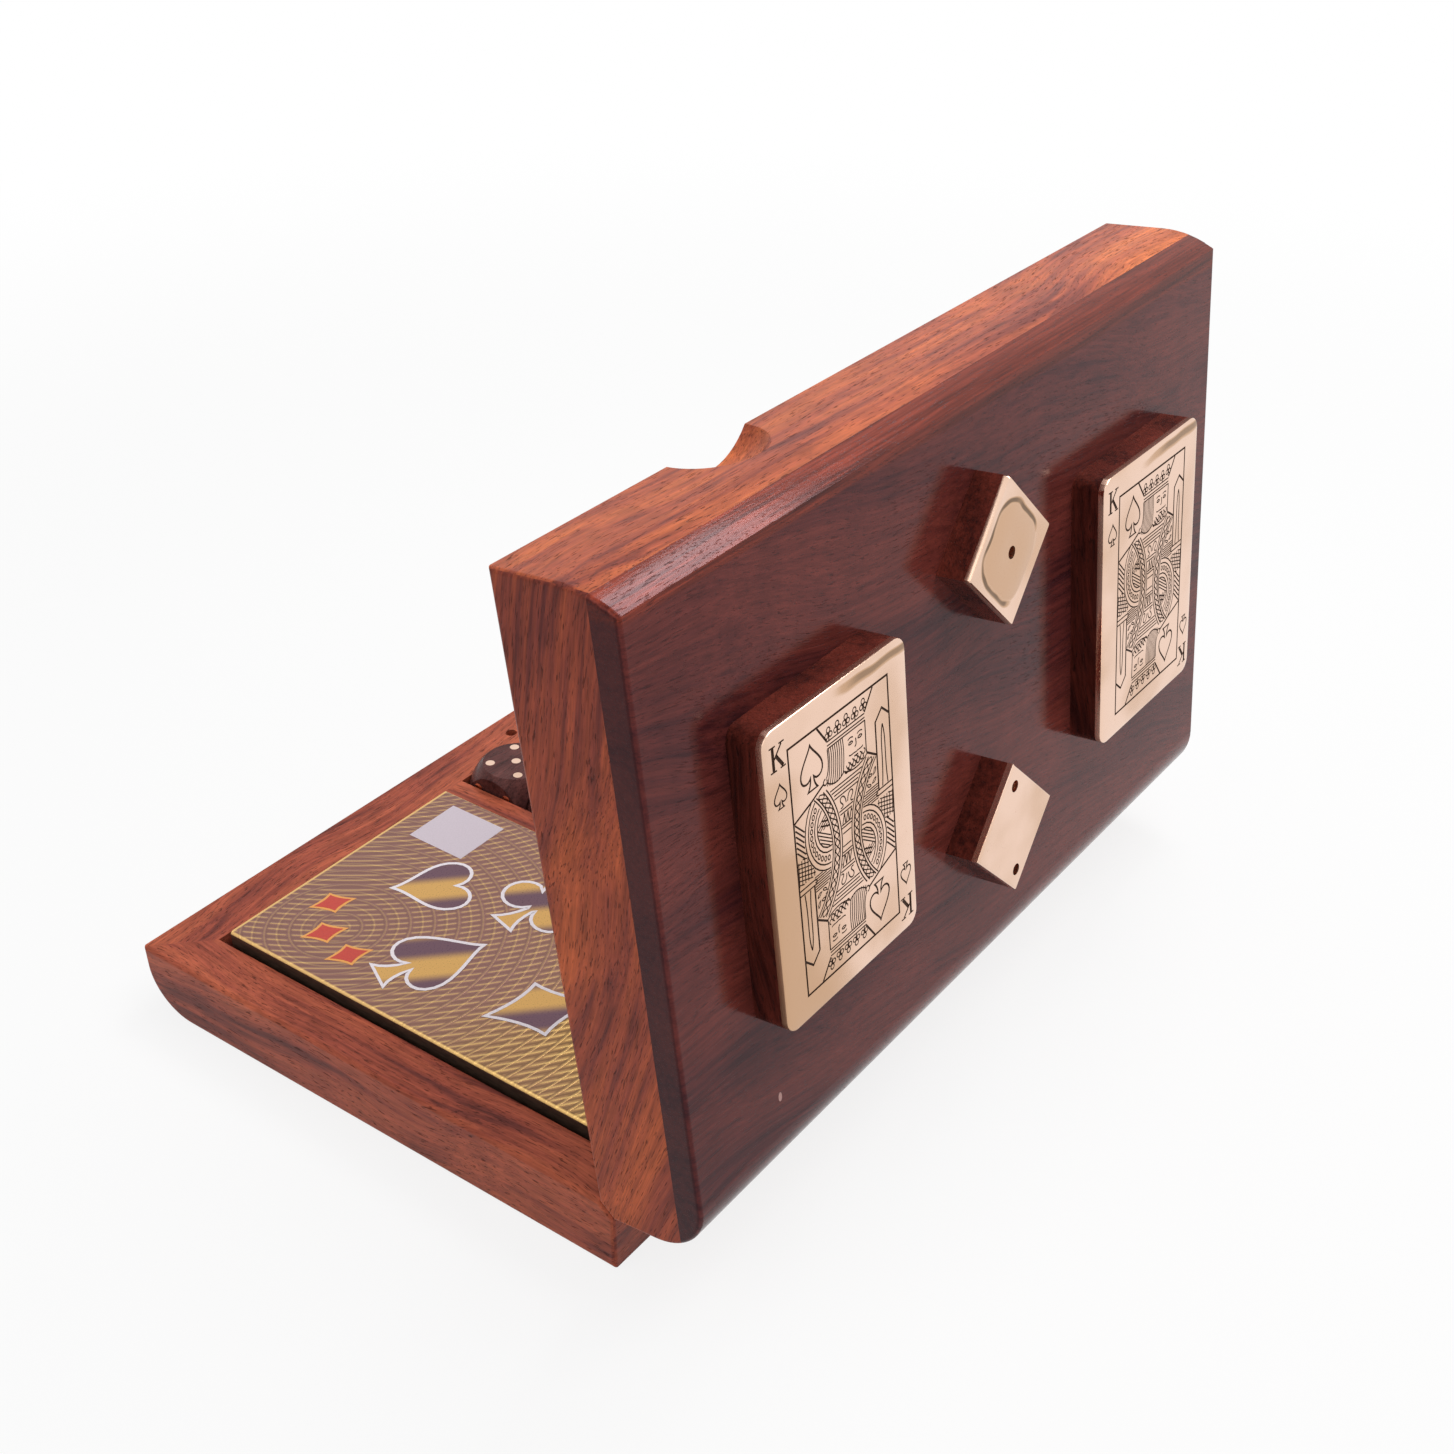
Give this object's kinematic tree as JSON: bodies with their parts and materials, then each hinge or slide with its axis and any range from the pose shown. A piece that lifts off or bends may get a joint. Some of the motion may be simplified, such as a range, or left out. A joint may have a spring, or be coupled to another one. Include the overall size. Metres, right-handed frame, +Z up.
{
  "type": "card and dice box",
  "caption": "Shallow hardwood box with a hinged lid, pockets for packs of cards and a well for dice; raised blocks with brass card and dice plates stand on the lid.",
  "frame": {"origin": "centre of the base's underside", "axes": "+X along the box to its right-hand end, -Y to the front edge that opens, +Y to the hinges, +Z up"},
  "size_m": [0.176, 0.1381, 0.1273],
  "materials": {
    "rail_wood": "oiled and polished reddish-brown hardwood",
    "panel_wood": "polished dark purplish-brown hardwood",
    "block_wood": "polished dark hardwood",
    "floor_wood": "thin board under the frame",
    "plate_brass": "polished brass plate",
    "hinge_brass": "plain brass fittings",
    "carton_foil": "gold foil board",
    "card_stock": "playing cards",
    "die_wood": "polished dark hardwood"
  },
  "bodies": {
    "base": {"base_front_rail": "rail_wood", "base_back_rail": "rail_wood", "base_left_end": "rail_wood", "base_right_end": "rail_wood", "floor_panel": "floor_wood", "divider_left": "rail_wood", "divider_right": "rail_wood", "base_hinge_leaf_left": "hinge_brass", "base_hinge_leaf_right": "hinge_brass", "hinge_pin_left": "hinge_brass", "hinge_pin_right": "hinge_brass", "base_hinge_screws": "hinge_brass"},
    "lid": {"lid_front_rail": "rail_wood", "lid_back_rail": "rail_wood", "lid_left_end": "rail_wood", "lid_right_end": "rail_wood", "lid_top_panel": "panel_wood", "lid_hinge_leaf_left": "hinge_brass", "lid_hinge_leaf_right": "hinge_brass", "lid_hinge_screws": "hinge_brass", "catch_pin": "hinge_brass", "card_block_left": "block_wood", "card_block_right": "block_wood", "card_plate_left": "plate_brass", "card_plate_right": "plate_brass", "die_block_front": "block_wood", "die_block_back": "block_wood", "die_plate_front": "plate_brass", "die_plate_back": "plate_brass"},
    "pack_left": {"carton_left": "carton_foil", "carton_flap_left": "carton_foil", "card_pack_left": "card_stock"},
    "pack_right": {"carton_right": "carton_foil", "carton_flap_right": "carton_foil", "card_pack_right": "card_stock"},
    "loose_die_1": {"die_1": "die_wood"},
    "loose_die_2": {"die_2": "die_wood"},
    "loose_die_3": {"die_3": "die_wood"},
    "loose_die_4": {"die_4": "die_wood"},
    "loose_die_5": {"die_5": "die_wood"}
  },
  "joints": [
    {"name": "lid_hinge", "type": "hinge", "parent": "base", "child": "lid", "pos_m": [0, 0.0545, 0.0146], "axis": [-1, 0, 0], "range_deg": [-83, 0]},
    {"name": "pack_left_lift", "type": "slide", "parent": "base", "child": "pack_left", "axis": [0, 0, 1], "range_m": [0, 0.03]},
    {"name": "pack_right_lift", "type": "slide", "parent": "base", "child": "pack_right", "axis": [0, 0, 1], "range_m": [0, 0.03]},
    {"name": "loose_die_1_lift", "type": "slide", "parent": "base", "child": "loose_die_1", "axis": [0, 0, 1], "range_m": [0, 0.03]},
    {"name": "loose_die_2_lift", "type": "slide", "parent": "base", "child": "loose_die_2", "axis": [0, 0, 1], "range_m": [0, 0.03]},
    {"name": "loose_die_3_lift", "type": "slide", "parent": "base", "child": "loose_die_3", "axis": [0, 0, 1], "range_m": [0, 0.03]},
    {"name": "loose_die_4_lift", "type": "slide", "parent": "base", "child": "loose_die_4", "axis": [0, 0, 1], "range_m": [0, 0.03]},
    {"name": "loose_die_5_lift", "type": "slide", "parent": "base", "child": "loose_die_5", "axis": [0, 0, 1], "range_m": [0, 0.03]}
  ]
}
